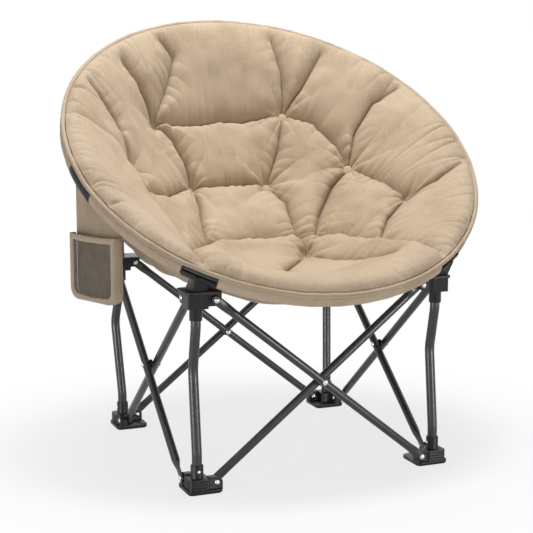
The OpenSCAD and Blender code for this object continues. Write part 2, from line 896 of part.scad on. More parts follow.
foot(FL);  // foot_fl
foot(FR);  // foot_fr
foot(BR);  // foot_br
foot(BL);  // foot_bl
pad(FL);  // pad_fl
pad(FR);  // pad_fr
pad(BR);  // pad_br
pad(BL);  // pad_bl
post(FL);  // post_fl
post(FR);  // post_fr
post(BR);  // post_br
post(BL);  // post_bl
foot_rivets(FL);  // foot_rivets_fl
foot_rivets(FR);  // foot_rivets_fr
foot_rivets(BR);  // foot_rivets_br
foot_rivets(BL);  // foot_rivets_bl
hub(FL);  // hub_fl
hub(FR);  // hub_fr
hub(BR);  // hub_br
hub(BL);  // hub_bl
hub_rivets(FL);  // hub_rivets_fl
hub_rivets(FR);  // hub_rivets_fr
hub_rivets(BR);  // hub_rivets_br
hub_rivets(BL);  // hub_rivets_bl
bar_a(0);  // bar_front_a
bar_b(0);  // bar_front_b
bar_a(1);  // bar_right_a
bar_b(1);  // bar_right_b
bar_a(2);  // bar_rear_a
bar_b(2);  // bar_rear_b
bar_a(3);  // bar_left_a
bar_b(3);  // bar_left_b
cross_rivet(0);  // cross_rivet_front
cross_rivet(1);  // cross_rivet_right
cross_rivet(2);  // cross_rivet_rear
cross_rivet(3);  // cross_rivet_left
spacer(0);  // spacer_front
spacer(1);  // spacer_right
spacer(2);  // spacer_rear
spacer(3);  // spacer_left
front_clip(-1);  // clip_fl
front_clip(1);  // clip_fr
rear_clip(1);  // clip_br
rear_clip(-1);  // clip_bl
ring_part(180 + joint_turn, 360 - joint_turn);  // ring_front
ring_part(-joint_turn, 180 + joint_turn);  // ring_rear
joint_cover(180 + joint_turn);  // joint_cover_left
joint_cover(-joint_turn);  // joint_cover_right
ring_sleeve();
sling();
cushion();
buttons();
piping();
pocket_back();
pocket_net();
pocket_binding();
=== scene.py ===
import bpy
import json
import math
import numpy as np
from mathutils import Matrix, Vector

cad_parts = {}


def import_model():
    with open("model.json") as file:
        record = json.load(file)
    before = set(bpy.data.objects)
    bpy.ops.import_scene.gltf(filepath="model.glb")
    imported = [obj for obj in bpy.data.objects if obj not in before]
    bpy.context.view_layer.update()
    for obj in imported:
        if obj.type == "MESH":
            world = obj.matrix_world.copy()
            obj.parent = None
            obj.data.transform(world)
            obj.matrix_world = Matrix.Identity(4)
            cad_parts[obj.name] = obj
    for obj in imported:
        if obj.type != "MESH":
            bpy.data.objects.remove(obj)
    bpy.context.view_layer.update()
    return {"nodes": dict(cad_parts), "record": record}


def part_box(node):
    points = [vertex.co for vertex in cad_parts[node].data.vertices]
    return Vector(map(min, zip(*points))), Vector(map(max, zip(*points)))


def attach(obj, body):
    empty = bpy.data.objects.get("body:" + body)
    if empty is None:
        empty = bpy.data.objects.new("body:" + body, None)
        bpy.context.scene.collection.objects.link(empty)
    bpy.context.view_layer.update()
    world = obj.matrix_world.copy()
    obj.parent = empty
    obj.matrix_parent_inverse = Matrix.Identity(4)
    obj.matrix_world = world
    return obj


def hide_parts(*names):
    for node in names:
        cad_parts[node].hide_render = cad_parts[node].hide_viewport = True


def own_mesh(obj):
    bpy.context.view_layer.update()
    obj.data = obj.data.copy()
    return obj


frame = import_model()
bpy.ops.object.select_all(action="DESELECT")

# The tubes: four posts and the ring, bent from steel tube and powder-coated a satin dark grey.
# The posts are 19 mm tube that bows back a little, drawn anew along the same bends; the ring is
# 22 mm tube in two halves that plug together at the sides.
body_with = {
    node: body
    for body, members in frame["record"]["behaviour"]["bodies"].items()
    for node in members
}


def socket(paint, name):
    return paint.node_tree.nodes["Principled BSDF"].inputs[name]


def finish(name, metallic, roughness, specular=0.5):
    paint = bpy.data.materials.new(name)
    paint.use_nodes = True
    socket(paint, "Metallic").default_value = metallic
    socket(paint, "Roughness").default_value = roughness
    socket(paint, "Specular IOR Level").default_value = specular
    return paint


def maths(tree, operation, *terms):
    """A maths node, whose terms are sockets to follow or plain numbers."""
    node = tree.nodes.new("ShaderNodeMath")
    node.operation = operation
    for entry, term in zip(node.inputs, terms):
        if isinstance(term, bpy.types.NodeSocket):
            tree.links.new(term, entry)
        else:
            entry.default_value = term
    return node.outputs["Value"]


def spread(tree, fac, low, high, start=0.0, end=1.0, interpolation="LINEAR"):
    """What runs from start to end in fac, made to run from low to high."""
    node = tree.nodes.new("ShaderNodeMapRange")
    node.interpolation_type = interpolation
    for name, value in (("From Min", start), ("From Max", end), ("To Min", low), ("To Max", high)):
        node.inputs[name].default_value = value
    tree.links.new(fac, node.inputs["Value"])
    return node.outputs["Result"]


def grain(paint, scale, detail=3.0, stretch=(1, 1, 1), space=None):
    """Noise in the piece's own coordinates, or in the turned ones that space gives."""
    tree = paint.node_tree
    if space is None:
        space = tree.nodes.new("ShaderNodeTexCoord").outputs["Object"]
    turn = tree.nodes.new("ShaderNodeMapping")
    turn.inputs["Scale"].default_value = stretch
    cloud = tree.nodes.new("ShaderNodeTexNoise")
    cloud.inputs["Scale"].default_value = scale
    cloud.inputs["Detail"].default_value = detail
    tree.links.new(space, turn.inputs["Vector"])
    tree.links.new(turn.outputs["Vector"], cloud.inputs["Vector"])
    return cloud.outputs["Fac"]


def colour_between(paint, fac, low, high, start=0.35, end=0.65):
    tree = paint.node_tree
    ramp = tree.nodes.new("ShaderNodeValToRGB")
    for stop, position, colour in zip(ramp.color_ramp.elements, (start, end), (low, high)):
        stop.position = position
        stop.color = (*colour, 1)
    tree.links.new(fac, ramp.inputs["Fac"])
    tree.links.new(ramp.outputs["Color"], socket(paint, "Base Color"))


def rough_between(paint, fac, low, high):
    tree = paint.node_tree
    tree.links.new(spread(tree, fac, low, high), socket(paint, "Roughness"))


def raise_by(paint, fac, height, strength=1.0, under=None):
    """A bump of the given height in metres, laid over the bump that under gives."""
    tree = paint.node_tree
    bump = tree.nodes.new("ShaderNodeBump")
    bump.inputs["Distance"].default_value = height
    bump.inputs["Strength"].default_value = strength
    tree.links.new(fac, bump.inputs["Height"])
    if under is not None:
        tree.links.new(under, bump.inputs["Normal"])
    tree.links.new(bump.outputs["Normal"], socket(paint, "Normal"))
    return bump.outputs["Normal"]


powder_coat = finish("powder_coat_grey", 0.20, 0.32, specular=0.55)
colour_between(powder_coat, grain(powder_coat, 40), (0.034, 0.034, 0.034), (0.044, 0.044, 0.043))
rough_between(powder_coat, grain(powder_coat, 120), 0.27, 0.37)
raise_by(powder_coat, grain(powder_coat, 1500, 2), 0.0002, 0.25)


def dressed(node, paint, edge=0.0, smooth=38, weld=0.00002, flat=2, sharp=34):
    """A welded copy of a frame node, with its sharp edges rounded over by edge."""
    mesh = frame["nodes"][node].data.copy()
    piece = bpy.data.objects.new(node + "_dressed", mesh)
    bpy.context.scene.collection.objects.link(piece)
    bpy.context.view_layer.objects.active = piece
    piece.select_set(True)
    bpy.ops.object.mode_set(mode="EDIT")
    bpy.ops.mesh.select_all(action="SELECT")
    bpy.ops.mesh.remove_doubles(threshold=weld)
    if edge:
        bpy.ops.mesh.dissolve_limited(angle_limit=math.radians(flat))
    bpy.ops.object.mode_set(mode="OBJECT")
    mesh.materials.clear()
    mesh.materials.append(paint)
    if edge:
        bevel = piece.modifiers.new("edges", "BEVEL")
        bevel.width = edge
        bevel.segments = 2
        bevel.limit_method = "ANGLE"
        bevel.angle_limit = math.radians(sharp)
        bevel.harden_normals = False
        bpy.ops.object.modifier_apply(modifier="edges")
    bpy.ops.object.shade_smooth_by_angle(angle=math.radians(smooth))
    piece.select_set(False)
    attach(piece, body_with[node])
    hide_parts(node)
    return piece


post_half = 0.250
frame_y = 0.020
post_r = 0.0095
post_bend = 0.076
bend_steps = 10
lean_start, lean_end = 0.072, 0.314
low_rise = 0.66 * (lean_end - lean_start)
high_rise = lean_end - lean_start - low_rise
for corner, sx, sy in (("fl", -1, -1), ("fr", 1, -1), ("br", 1, 1), ("bl", -1, 1)):
    node = "post_" + corner
    low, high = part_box(node)
    bow = Vector((0, 0.018, 0)) if sy < 0 else Vector((sx * 0.008, 0.020, 0))
    bend_axis = Vector((-bow.y, bow.x, 0)).normalized()
    low_turn, high_turn = math.atan(bow.length / low_rise), math.atan(bow.length / high_rise)
    low_cut = post_bend * math.tan(low_turn / 2)
    mid_cut = post_bend * math.tan((low_turn + high_turn) / 2)
    high_cut = post_bend * math.tan(high_turn / 2)
    # straight runs up the post, and the turn that follows each
    legs = (
        (lean_start - low_cut - low.z, low_turn),
        (low_rise / math.cos(low_turn) - low_cut - mid_cut, -low_turn - high_turn),
        (high_rise / math.cos(high_turn) - mid_cut - high_cut, high_turn),
        (high.z - lean_end - high_cut, 0),
    )
    tip = Vector((sx * post_half, frame_y + sy * post_half, low.z))
    bpy.ops.mesh.primitive_circle_add(vertices=40, radius=post_r, fill_type="NGON", location=tip)
    post = bpy.context.object
    bpy.ops.object.transform_apply(location=True, rotation=True, scale=True)
    bpy.ops.object.mode_set(mode="EDIT")
    bpy.ops.mesh.select_all(action="SELECT")
    ahead = Vector((0, 0, 1))
    for length, turn in legs:
        bpy.ops.mesh.extrude_region_move(TRANSFORM_OT_translate={"value": ahead * length})
        tip = tip + ahead * length
        if turn:
            way = 1 if turn > 0 else -1
            centre = tip + bend_axis.cross(ahead) * way * post_bend
            bpy.ops.mesh.spin(steps=bend_steps, angle=abs(turn), center=centre, axis=bend_axis * -way)
            spun = Matrix.Rotation(turn, 3, bend_axis)
            tip = centre + spun @ (tip - centre)
            ahead = spun @ ahead
    bpy.ops.mesh.select_all(action="SELECT")
    bpy.ops.mesh.remove_doubles(threshold=0.00001)
    bpy.ops.mesh.normals_make_consistent(inside=False)
    bpy.ops.object.mode_set(mode="OBJECT")
    post.name = "post_%s_tube" % corner
    post.data.materials.append(powder_coat)
    bpy.ops.object.shade_smooth_by_angle(angle=math.radians(40))
    post.select_set(False)
    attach(post, body_with[node])
    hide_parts(node)


def gather(piece):
    """Gives the piece a mesh of its own. In the chair, the seat is gathered into a narrow roll between
    the posts as it folds.
    """
    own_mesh(piece)


for half in ("ring_front", "ring_rear"):
    gather(dressed(half, powder_coat))

# The crossed bars: eight lengths of 16 mm tube in the same grey, whose ends are pressed flat,
# rounded off and pierced for a rivet. Each pair crosses at a rivet through both tubes.
bar_r = 0.008
bar_plane = 0.010
pin_span = 0.432
foot_pin = 0.019
hub_pin = 0.364
bar_length = math.hypot(pin_span, hub_pin - foot_pin)
bar_angle = math.atan2(hub_pin - foot_pin, pin_span)
bar_tail, tip_r = 0.009, 0.0094
flat_until, round_from = 0.018, 0.043
thinning, widening = 0.68, 0.13


def smoothstep(low, high, x):
    t = min(1, max(0, (x - low) / (high - low)))
    return t * t * (3 - 2 * t)


bpy.ops.mesh.primitive_cylinder_add(
    vertices=40, radius=bar_r, depth=bar_length + 2 * bar_tail, end_fill_type="NGON",
    location=(bar_length / 2, 0, 0), rotation=(0, math.pi / 2, 0),
)
bar_blank = bpy.context.object
bpy.ops.object.transform_apply(location=True, rotation=True, scale=True)
# places of the cuts from each pin, closer together where the tube changes its section
steps = (
    -0.0086, -0.0078, -0.006, -0.003, 0.002, 0.012, 0.019, 0.022, 0.025, 0.028, 0.031, 0.035,
    0.039, 0.043,
)
bpy.ops.object.mode_set(mode="EDIT")
for step in steps:
    for cut in (step, bar_length - step):
        bpy.ops.mesh.select_all(action="SELECT")
        bpy.ops.mesh.bisect(plane_co=(cut, 0, 0), plane_no=(1, 0, 0))
for step in (-bar_tail,) + steps:
    flat = 1 - smoothstep(flat_until, round_from, step)
    tip = math.sqrt(1 - (step / tip_r) ** 2) if step < 0 else 1
    for cut in (step, bar_length - step):
        bpy.ops.mesh.select_all(action="DESELECT")
        bpy.ops.object.mode_set(mode="OBJECT")
        for v in bar_blank.data.vertices:
            v.select = abs(v.co.x - cut) < 0.0001
        bpy.ops.object.mode_set(mode="EDIT")
        bpy.ops.transform.resize(
            value=(1, 1 - thinning * flat, (1 + widening * flat) * tip), center_override=(cut, 0, 0)
        )
bpy.ops.object.mode_set(mode="OBJECT")
bpy.ops.object.shade_smooth_by_angle(angle=math.radians(50))
bar_blank.data.materials.append(powder_coat)
bar_blank.select_set(False)
for quarter, side in enumerate(("front", "right", "rear", "left")):
    stand = (
        Matrix.Translation((0, frame_y, 0))
        @ Matrix.Rotation(math.pi / 2 * quarter, 4, "Z")
        @ Matrix.Translation((0, -post_half - post_r, foot_pin))
    )
    up_right = (
        Matrix.Translation((-pin_span / 2, bar_plane, 0)) @ Matrix.Rotation(-bar_angle, 4, "Y")
    )
    up_left = (
        Matrix.Translation((pin_span / 2, -bar_plane, 0))
        @ Matrix.Rotation(bar_angle, 4, "Y")
        @ Matrix.Rotation(math.pi, 4, "Z")
    )
    for letter, lean in (("a", up_right), ("b", up_left)):
        node = "bar_%s_%s" % (side, letter)
        bar = bpy.data.objects.new(node + "_tube", bar_blank.data.copy())
        bpy.context.scene.collection.objects.link(bar)
        bar.data.transform(stand @ lean)
        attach(bar, body_with[node])
        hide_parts(node)
bpy.data.objects.remove(bar_blank)

# The feet: black nylon mouldings with a square sole, a block and collar round the post, and two
# ears for the bars. The outer faces carry low ribs, and a rubber pad is glued under the sole.
moulded_black = finish("moulded_black_nylon", 0.0, 0.46, specular=0.28)
colour_between(
    moulded_black, grain(moulded_black, 60), (0.0065, 0.0065, 0.007), (0.012, 0.012, 0.0125)
)
rough_between(moulded_black, grain(moulded_black, 200), 0.36, 0.52)
raise_by(moulded_black, grain(moulded_black, 2200, 2), 0.00025, 0.35)

sole_rubber = finish("sole_rubber", 0.0, 0.85)
colour_between(sole_rubber, grain(sole_rubber, 90), (0.006, 0.006, 0.006), (0.014, 0.014, 0.013))
raise_by(sole_rubber, grain(sole_rubber, 900, 4), 0.0004, 0.5)


def ribs_on(piece, quarter, heights, reach, out, thick=0.0024, edge=0.0008):
    """Low ribs across the two outer faces of a foot's block."""
    stand = (
        Matrix.Translation((0, frame_y, 0))
        @ Matrix.Rotation(math.pi / 2 * quarter, 4, "Z")
        @ Matrix.Translation((-post_half, -post_half, 0))
    )
    made = []
    for z in heights:
        for turn in (0, -math.pi / 2):
            bpy.ops.mesh.primitive_cube_add(size=1)
            rib = bpy.context.object
            rib.data.transform(Matrix.Diagonal((reach * 2, thick, thick, 1)))
            rib.data.transform(
                stand @ Matrix.Rotation(turn, 4, "Z") @ Matrix.Translation((0, -out, z))
            )
            bevel = rib.modifiers.new("edges", "BEVEL")
            bevel.width = edge
            bevel.segments = 2
            bpy.ops.object.modifier_apply(modifier="edges")
            rib.data.materials.append(moulded_black)
            made.append(rib)
    bpy.ops.object.select_all(action="DESELECT")
    for rib in made:
        rib.select_set(True)
    piece.select_set(True)
    bpy.context.view_layer.objects.active = piece
    bpy.ops.object.join()
    piece.select_set(False)


for quarter, corner in enumerate(("fl", "fr", "br", "bl")):
    foot = dressed("foot_" + corner, moulded_black, edge=0.0011)
    ribs_on(foot, quarter, heights=(0.0125, 0.018, 0.0235), reach=0.0145, out=0.0203)
    dressed("pad_" + corner, sole_rubber, edge=0.0005)

# The hubs: black nylon too, with a flat top plate, a block and a sleeve round the post. The front
# pair cap their posts; the rear pair slide on theirs as the chair folds.
for corner in ("fl", "fr", "br", "bl"):
    dressed("hub_" + corner, moulded_black, edge=0.0011)

# The clips that the ring lies in: nylon cups on a neck that stands on the front hubs, and on a
# socket over the tops of the rear posts.
for corner in ("fl", "fr", "br", "bl"):
    dressed("clip_" + corner, moulded_black, edge=0.0012)

# The rivets: bright steel with domed heads, through the ears, the collars and the crossings; and
# the black nylon washers that keep the crossed tubes apart.
bright_rivet = finish("bright_rivet", 1.0, 0.24)
colour_between(bright_rivet, grain(bright_rivet, 300), (0.56, 0.55, 0.53), (0.72, 0.71, 0.69))
rough_between(bright_rivet, grain(bright_rivet, 700), 0.2, 0.36)
raise_by(bright_rivet, grain(bright_rivet, 1600, 2), 0.0001, 0.3)
for node in sorted(frame["nodes"]):
    if "rivet" in node:
        dressed(node, bright_rivet, smooth=60)
    if node.startswith("spacer_"):
        dressed(node, moulded_black, edge=0.0005)

# The covers over the ring's two side joints: smooth black nylon sleeves with rounded ends, slid
# on over the plugs that join the ring's halves, between the cut ends of the cloth sleeve.
for side in ("left", "right"):
    gather(dressed("joint_cover_" + side, moulded_black, edge=0.0015))

# The cushion: one round quilted pad of beige polyester cloth over loose fibre, sewn through along
# channels and drawn down at tufts, with short pleats where the cloth is gathered into the rim.
ring_r = 0.416
sling_r = 0.4003
cushion_r = 0.4225
rim_level = 0.0157
bag_deep = 0.272
cushion_lift = 0.0034
seat_tilt = math.radians(36.7)
ring_centre = (0, 0.005, 0.615)
seat_frame = Matrix.Translation(ring_centre) @ Matrix.Rotation(seat_tilt, 4, "X")
# tufts and sewn lines, in ring radii to the right and up the seat from its middle
tufts = [
    (0.32, 0.594), (0.184, 0.289), (0.585, 0.208),
    (-0.43, 0.529), (-0.247, 0.28), (0.734, -0.182), (-0.623, 0.209), (0.22, -0.265),
]
tuft_folds = (9, 9, 9, 8, 9, 8, 8, 7)
seams = [
    [(-0.43, 0.529), (-0.05, 0.60), (0.32, 0.594)],
    [(-0.247, 0.28), (-0.026, 0.305), (0.184, 0.289)],
    [(0.32, 0.594), (0.265, 0.431), (0.184, 0.289)],
    [(-0.43, 0.529), (-0.325, 0.464), (-0.268, 0.38), (-0.247, 0.28)],
    [(0.32, 0.594), (0.459, 0.491), (0.548, 0.345), (0.585, 0.208)],
    [(0.585, 0.208), (0.64, 0.349), (0.737, 0.431), (0.854, 0.439)],
    [(0.32, 0.594), (0.417, 0.657), (0.529, 0.765)],
    [(0.32, 0.594), (0.32, 0.752), (0.287, 0.891)],
    [(-0.43, 0.529), (-0.513, 0.651), (-0.594, 0.714)],
    [(-0.43, 0.529), (-0.326, 0.714), (-0.285, 0.816), (-0.353, 0.88)],
    [(0.585, 0.208), (0.668, 0.032), (0.734, -0.182)],
    [(0.585, 0.208), (0.481, 0.135), (0.38, 0.0), (0.321, -0.118)],
    [(0.184, 0.289), (0.252, 0.142), (0.24, -0.089)],
    [(-0.247, 0.28), (-0.232, 0.154), (-0.269, -0.085)],
    [(0.734, -0.182), (0.606, -0.267), (0.506, -0.41)],
    [(0.734, -0.182), (0.835, -0.21), (0.957, -0.186)],
    [(-0.81, 0.509), (-0.686, 0.377), (-0.623, 0.209)],
    [(-0.247, 0.28), (-0.428, 0.151), (-0.57, 0.10)],
    [(0.22, -0.265), (0.235, -0.126)],
    [(0.22, -0.265), (0.05, -0.40), (-0.06, -0.62)],
    [(0.22, -0.265), (0.30, -0.45), (0.42, -0.66)],
]
seat_crease = [
    (-0.61, -0.82), (-0.55, -0.65), (-0.49, -0.48), (-0.44, -0.30), (-0.25, -0.12), (-0.06, -0.065),
    (0.2, -0.08), (0.415, -0.21), (0.525, -0.46), (0.54, -0.65), (0.57, -0.83),
]
wing_edge = [(-0.623, 0.209), (-0.575, 0.10), (-0.50, -0.08), (-0.455, -0.22), (-0.44, -0.30)]
# number of rim pleats round the cushion, their slant, a seed and their depth
pleat_sets = ((34, 3.0, 0.4, 0.0165), (55, -5.0, 2.1, 0.0130), (96, 6.0, 4.3, 0.0060))


def fade(d, reach):
    return np.exp(-d / reach)


def bell(d, reach):
    return np.exp(-((d / reach) ** 2))


def ripple(x, y, scale, seed):
    """Soft uneven waves between about -1 and 1, the same at each run."""
    total = 0
    for i in range(5):
        a = seed * 1.7 + i * 2.399
        run = x * math.cos(a) + y * math.sin(a)
        total = total + np.sin(scale * (1 + 0.37 * i) * run + seed * 3.1 + i * 1.3)
    return total / 3


def fold(x):
    """Rounded crests with narrow valleys between them, from -1 to about 0.4."""
    return np.abs(np.sin(x)) ** 0.6 * 1.4 - 1


def along(u, v, line):
    """Distance from a sewn line, and how far along it the nearest point lies, in metres."""
    near, place, start = np.full_like(u, 9.0), np.zeros_like(u), 0
    for a, b in zip(line, line[1:]):
        a, b = np.array(a) * ring_r, np.array(b) * ring_r
        run = b - a
        length = math.hypot(*run)
        t = np.clip(((u - a[0]) * run[0] + (v - a[1]) * run[1]) / (run @ run), 0, 1)
        d = np.hypot(u - a[0] - t * run[0], v - a[1] - t * run[1])
        place = np.where(d < near, start + t * length, place)
        near = np.minimum(near, d)
        start += length
    return near, place


def before(past_line):
    """1 on the near side of a line and 0 past it, with a soft step between."""
    return 1 / (1 + np.exp(np.clip(past_line / 0.005, -30, 30)))


def channel(d, deep, reach, crack, crack_reach):
    """The valley of a seam, with the narrow crack that the stitches draw down in it."""
    return deep * fade(d, reach) + crack * fade(d, crack_reach)


def gathers(d, phase, size, reach):
    """Small folds that run out from a seam: none on the stitches, most just beside them."""
    return size * fade(d, reach) * (1 - fade(d, 0.004)) * fold(phase)


def bag(r):
    return -bag_deep * (1 - (r / sling_r) ** 2)


def cushion_floor(r):
    return np.minimum(bag(r) + cushion_lift, rim_level)


def cushion_base(r):
    """The level that the crown stands on: the sling's, rounded off where it meets the rim."""
    ease = 0.008
    return rim_level - ease * np.logaddexp(0, (rim_level - (bag(r) + cushion_lift)) / ease)


def rim_pleats(turn, edge):
    """Short pleats of three sizes from the rim inwards, deepest at the two wings."""
    pleat = np.zeros_like(edge)
    wing = 0.45 + 0.55 * np.abs(np.cos(turn + 0.15)) ** 1.5
    for count, slant, seed, size in pleat_sets:
        phase = count / 2 * (turn + slant * 0.1 * edge)
        phase = phase + 1.3 * np.sin(3 * turn + seed) + 0.7 * np.sin(7 * turn + 2 * seed)
        reach = 0.042 + 0.016 * np.sin(5 * turn + seed) + 0.010 * np.sin(13 * turn + 3 * seed)
        reach = np.clip(reach * (pleat_sets[0][0] / count) ** 0.5, 0.010, 1)
        depth = size * (0.60 + 0.40 * np.sin(9 * turn + 4 * seed)) * wing
        valley = fade(np.abs(np.sin(phase)), 0.20) - 0.25
        pleat += depth * valley * fade(edge, reach)
    return pleat * (1 - fade(edge, 0.010))


def cushion_top(u, v, with_folds=True):
    """Level of the cushion's upper face above the ring's plane."""
    r = np.hypot(u, v)
    edge = cushion_r - r
    crown = np.sin(math.pi / 2 * np.clip(edge / 0.100, 0, 1))
    edge_level, plain_high, folded_high = 0.008, 0.054, 0.056
    dip = np.zeros_like(r)
    pucker = np.zeros_like(r)
    for i, line in enumerate(seams):
        d, s = along(u, v, line)
        dip = np.maximum(dip, channel(d, deep=0.025, reach=0.017, crack=0.008, crack_reach=0.0034))
        phase = s * math.pi / 0.027 + 1.4 * np.sin(s * 45 + i) + i + d * 14 * math.sin(i)
        pucker += gathers(d, phase, size=0.0038, reach=0.024)

    # seat crease: the seat's side of it is steep, the back's side slopes away
    d, s = along(u, v, seat_crease)
    line_u, line_v = zip(*seat_crease)
    seat_side = before(v - ring_r * np.interp(u / ring_r, line_u, line_v, -1, -1))
    valley = channel(d, deep=0.032, reach=0.026 - 0.014 * seat_side, crack=0.010, crack_reach=0.0042)
    dip = np.maximum(dip, valley)
    pucker += gathers(d, s * math.pi / 0.031 + np.sin(s * 40) + 1, size=0.0044, reach=0.028)
    seat_roll = 0.013 * seat_side * bell(d - 0.036, 0.028)

    # left wing's edge: the wing rolls over towards the valley inside it
    d = along(u, v, wing_edge)[0]
    line_u, line_v = zip(*wing_edge[::-1])
    wing_side = before(u - ring_r * np.interp(v / ring_r, line_v, line_u))
    valley = channel(d, deep=0.030, reach=0.024 - 0.011 * wing_side, crack=0.008, crack_reach=0.0034)
    dip = np.maximum(dip, valley)
    roll = 0.014 * wing_side * bell(d - 0.034, 0.024) + seat_roll

    well = np.zeros_like(r)
    for i, ((a, b), folds) in enumerate(zip(tufts, tuft_folds)):
        du, dv = u - a * ring_r, v - b * ring_r
        d = np.hypot(du, dv)
        angle = np.arctan2(dv, du)
        well = np.maximum(well, 0.034 * fade(np.maximum(0, d - 0.007), 0.020) + 0.005 * bell(d, 0.07))
        lift = 0.0080 * fade(d, 0.038 + 0.012 * np.sin(2 * angle + i)) * (1 - bell(d, 0.015))
        phase = folds / 2 * angle + 0.7 * np.sin(2 * angle + 1.3 * i) + 6 * d * math.sin(2 * i) + i
        pucker += lift * fold(phase)
    dip = (dip ** 5 + well ** 5) ** 0.2
    if not with_folds:
        return cushion_base(r) + edge_level + (plain_high - dip) * crown
    swell = 0.0025 * ripple(u, v, 22, 1.0) + 0.0011 * ripple(u, v, 75, 2.0)
    filled = (folded_high + swell + roll + pucker) * crown
    pleat = rim_pleats(np.arctan2(v, u), edge)
    return cushion_base(r) + edge_level + filled - dip * crown ** 0.65 - pleat


def seam_shade(u, v):
    """1 on the stitch lines, partly the dark thread and partly painted shade in the seam's crack, with
    painted shade fading over the cloth beside them.
    """
    shade = np.zeros_like(u)
    for line in seams + [seat_crease, wing_edge]:
        d = along(u, v, line)[0]
        # a thin dark line on the stitches, partly the thread and partly painted shade in the seam's
        # crack, and a broad painted shade over the cloth either side
        shade = np.maximum(shade, np.maximum(bell(d, 0.0019), 0.36 * fade(d, 0.013)))
    return shade * np.clip((cushion_r - np.hypot(u, v)) / 0.02, 0, 1)


def spoke_net(name, rows, first, last):
    """A closed skin of rows of points, with a pole at each end."""
    spokes = len(rows[0])
    points = [first] + [tuple(p) for row in rows for p in row] + [last]
    faces = [(0, 1 + j, 1 + (j + 1) % spokes) for j in range(spokes)]
    for i in range(len(rows) - 1):
        a = 1 + i * spokes
        for j in range(spokes):
            k = (j + 1) % spokes
            faces.append((a + j, a + spokes + j, a + spokes + k, a + k))
    a = 1 + (len(rows) - 1) * spokes
    faces += [(len(points) - 1, a + (j + 1) % spokes, a + j) for j in range(spokes)]
    mesh = bpy.data.meshes.new(name)
    mesh.from_pydata(points, [], faces)
    mesh.transform(seat_frame)
    piece = bpy.data.objects.new(name, mesh)
    bpy.context.scene.collection.objects.link(piece)
    bpy.context.view_layer.objects.active = piece
    piece.select_set(True)
    bpy.ops.object.shade_smooth()
    piece.select_set(False)
    return piece


def spokes_at(r, level, theta):
    return np.stack([r * np.cos(theta), r * np.sin(theta), level + 0 * theta], axis=1)


theta = np.linspace(0, 2 * math.pi, 1080, endpoint=False)
rows = []
for r in np.concatenate([np.linspace(0.0022, 0.400, 235), np.linspace(0.4015, 0.4222, 15)]):
    rows.append(spokes_at(r, cushion_top(r * np.cos(theta), r * np.sin(theta)), theta))
for r, level in ((cushion_r, 0.004), (cushion_r - 0.002, 0.0005), (sling_r - 0.0004, 0.0002)):
    rows.append(spokes_at(r, rim_level + level, theta))
off_sling = 0.0004
for r in np.linspace(sling_r - 0.003, 0.02, 20):
    rows.append(spokes_at(r, cushion_floor(r) + off_sling, theta))
top_pole = (0, 0, float(cushion_top(np.zeros(1), np.zeros(1))[0]))
low_pole = (0, 0, float(cushion_floor(0)) + off_sling)
cushion = spoke_net("cushion_quilted", rows, top_pole, low_pole)
skin = np.concatenate([[top_pole], *rows, [low_pole]])
on_top = np.where(skin[:, 2] > cushion_floor(np.hypot(skin[:, 0], skin[:, 1])) + 0.006, 1, 0)
# painted shade along the seams, with the dark stitch lines, kept on the upper face as a point attribute
# that the cloth's colour reads
stitched = cushion.data.attributes.new("stitched", "FLOAT", "POINT")
stitched.data.foreach_set("value", seam_shade(skin[:, 0], skin[:, 1]) * on_top)


def woven(paint, pale, deep, thread, height):
    """A plain weave in the seat's own slant, with slubs and a soft change of tone."""
    tree = paint.node_tree
    turn = tree.nodes.new("ShaderNodeMapping")
    turn.inputs["Rotation"].default_value = (-seat_tilt, 0, 0)
    place = tree.nodes.new("ShaderNodeTexCoord")
    tree.links.new(place.outputs["Object"], turn.inputs["Vector"])
    slanted = turn.outputs["Vector"]
    unscaled_band = 0.314
    sets = []
    for direction in ("X", "Y"):
        wave = tree.nodes.new("ShaderNodeTexWave")
        wave.bands_direction = direction
        wave.inputs["Scale"].default_value = unscaled_band / thread
        wave.inputs["Distortion"].default_value = 1.5
        wave.inputs["Detail"].default_value = 2
        wave.inputs["Detail Scale"].default_value = 1.5
        tree.links.new(slanted, wave.inputs["Vector"])
        sets.append(wave.outputs["Fac"])
    weave = maths(tree, "MULTIPLY", *sets)
    tone = maths(tree, "MULTIPLY_ADD", weave, 0.22, grain(paint, 9, 6))
    for stretch in ((34, 620, 620), (620, 34, 34)):
        flecks = grain(paint, 1, 2, stretch, slanted)
        tone = maths(tree, "MULTIPLY_ADD", flecks, 0.42, tone)
    colour_between(paint, tone, deep, pale, 0.78, 1.0)
    slub = raise_by(paint, grain(paint, 420, 4, (1, 2.5, 1)), 0.0004, 0.35)
    raise_by(paint, weave, height, 0.45, under=slub)
    socket(paint, "Sheen Weight").default_value = 0.25
    socket(paint, "Sheen Roughness").default_value = 0.45
    socket(paint, "Specular IOR Level").default_value = 0.25


cushion_cloth = finish("cushion_cloth_beige", 0.0, 0.88)
woven(cushion_cloth, (0.655, 0.515, 0.366), (0.530, 0.402, 0.274), 0.0013, 0.0002)
tree = cushion_cloth.node_tree
# Painted shade: the seam attribute mixes the cloth towards a warm dark brown, up to 0.8, on the stitch
# lines and beside the seams
stitches = tree.nodes.new("ShaderNodeAttribute")
stitches.attribute_name = "stitched"
darker = tree.nodes.new("ShaderNodeMix")
darker.data_type = "RGBA"
# warm brown of the painted seam shade and the stitch lines
darker.inputs["B"].default_value = (0.190, 0.125, 0.078, 1)
tree.links.new(maths(tree, "MULTIPLY", stitches.outputs["Fac"], 0.80), darker.inputs["Factor"])
cloth_colour = socket(cushion_cloth, "Base Color")
tree.links.new(cloth_colour.links[0].from_socket, darker.inputs["A"])
tree.links.new(darker.outputs["Result"], cloth_colour)
cushion.data.materials.append(cushion_cloth)
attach(cushion, "seat")
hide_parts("cushion")
gather(cushion)

